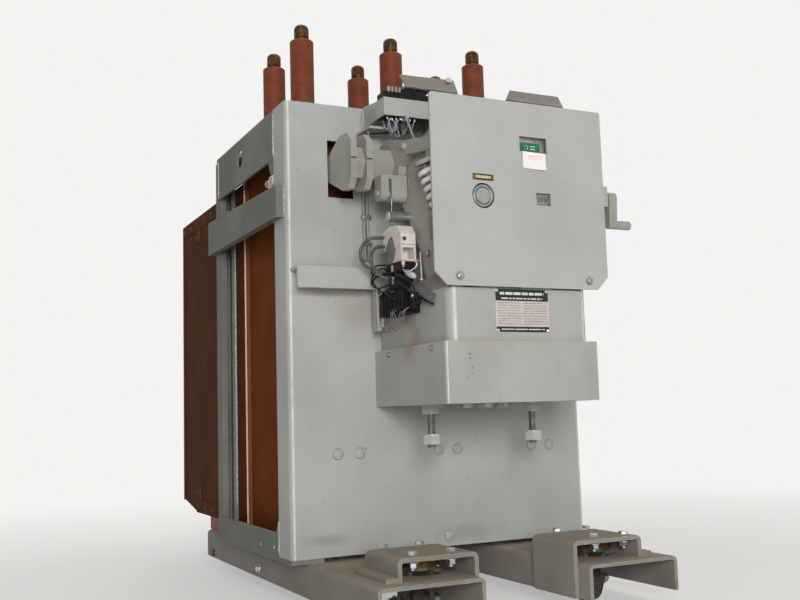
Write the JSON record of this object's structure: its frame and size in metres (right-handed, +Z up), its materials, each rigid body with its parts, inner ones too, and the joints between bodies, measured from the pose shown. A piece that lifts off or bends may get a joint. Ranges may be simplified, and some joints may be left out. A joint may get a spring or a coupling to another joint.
{
  "type": "draw-out circuit breaker",
  "caption": "Indoor draw-out medium-voltage circuit breaker: steel frame on wheeled rails, box barrier, front mechanism and top bushings with contact tips.",
  "frame": {"origin": "on the floor under the middle of the bounding box", "axes": "+Z up, -Y towards the front with the mechanism and the caster rails, +X to the right as seen from the front"},
  "size_m": [0.677, 1.206, 1.126],
  "materials": {
    "grey_paint": "semi-gloss light grey enamel",
    "greasy_steel": "greasy brown steel",
    "olive_steel": "dull dark olive",
    "wheel_iron": "dull dark iron",
    "bushing_brown": "satin red-brown",
    "tip_bronze": "tarnished",
    "laminate": "satin brown laminate",
    "inner_laminate": "satin orange-brown laminate",
    "chute_board": "matt grey board",
    "red_insulation": "matt red",
    "zinc_steel": "zinc plated",
    "spring_white": "off-white enamel",
    "button_black": "matt black",
    "black_moulding": "matt black",
    "cream_moulding": "satin off-white moulding",
    "flag_green": "matt green enamel",
    "cable_grey": "matt grey sheath"
  },
  "bodies": {
    "root": {"front_plate": "grey_paint", "top_bands": "grey_paint", "sills": "grey_paint", "rear_uprights": "grey_paint", "cross_members": "grey_paint", "base_rail_left": "grey_paint", "base_rail_right": "grey_paint", "caster_housings": "grey_paint", "caster_races": "greasy_steel", "rear_wheels": "wheel_iron", "bushing_plate": "grey_paint", "bushings_front": "bushing_brown", "bushings_rear": "bushing_brown", "contact_tips": "tip_bronze", "barrier_sides": "laminate", "barrier_back": "laminate", "phase_barriers": "laminate", "inner_barriers": "inner_laminate", "arc_chutes": "chute_board", "insulating_blocks": "red_insulation", "cross_bars": "grey_paint", "mechanism_plates": "grey_paint", "upper_box": "grey_paint", "lower_box": "grey_paint", "front_cover": "grey_paint", "indicator_panel": "grey_paint", "box_studs": "zinc_steel", "ledges": "grey_paint", "main_crank": "grey_paint", "opening_spring": "spring_white", "spring_caps": "grey_paint", "interlock_bearing": "grey_paint", "coupler_bracket": "grey_paint", "coupler_block": "black_moulding", "coupler_shelf": "grey_paint", "plate_roller": "zinc_steel", "latch_block": "cream_moulding", "terminal_blocks": "black_moulding", "terminal_bracket": "grey_paint", "top_flaps": "grey_paint", "position_flag": "flag_green", "operation_counter": "black_moulding", "inner_front_board": "inner_laminate", "control_cable_upper": "cable_grey", "control_cable_lower": "cable_grey"},
    "fork_left": {"caster_fork_left": "olive_steel"},
    "fork_right": {"caster_fork_right": "olive_steel"},
    "wheel_left": {"caster_wheel_left": "wheel_iron"},
    "wheel_right": {"caster_wheel_right": "wheel_iron"},
    "interlock": {"interlock_arm": "zinc_steel"},
    "button": {"trip_button": "button_black"}
  },
  "joints": [
    {"name": "caster_swivel_left", "type": "hinge", "parent": "root", "child": "fork_left", "pos_m": [-0.1785, -0.491, 0.09], "axis": [0, 0, 1], "continuous": true},
    {"name": "caster_swivel_right", "type": "hinge", "parent": "root", "child": "fork_right", "pos_m": [0.1595, -0.491, 0.09], "axis": [0, 0, 1], "continuous": true},
    {"name": "wheel_spin_left", "type": "hinge", "parent": "fork_left", "child": "wheel_left", "pos_m": [-0.1785, -0.478, 0.035], "axis": [1, 0, 0], "continuous": true},
    {"name": "wheel_spin_right", "type": "hinge", "parent": "fork_right", "child": "wheel_right", "pos_m": [0.1595, -0.478, 0.035], "axis": [1, 0, 0], "continuous": true},
    {"name": "interlock_swing", "type": "hinge", "parent": "root", "child": "interlock", "pos_m": [0.2955, -0.429, 0.736], "axis": [1, 0, 0], "range_deg": [-30, 30]},
    {"name": "trip_press", "type": "slide", "parent": "root", "child": "button", "axis": [0, 1, 0], "range_m": [0, 0.008], "stiffness_N_per_m": 400}
  ]
}
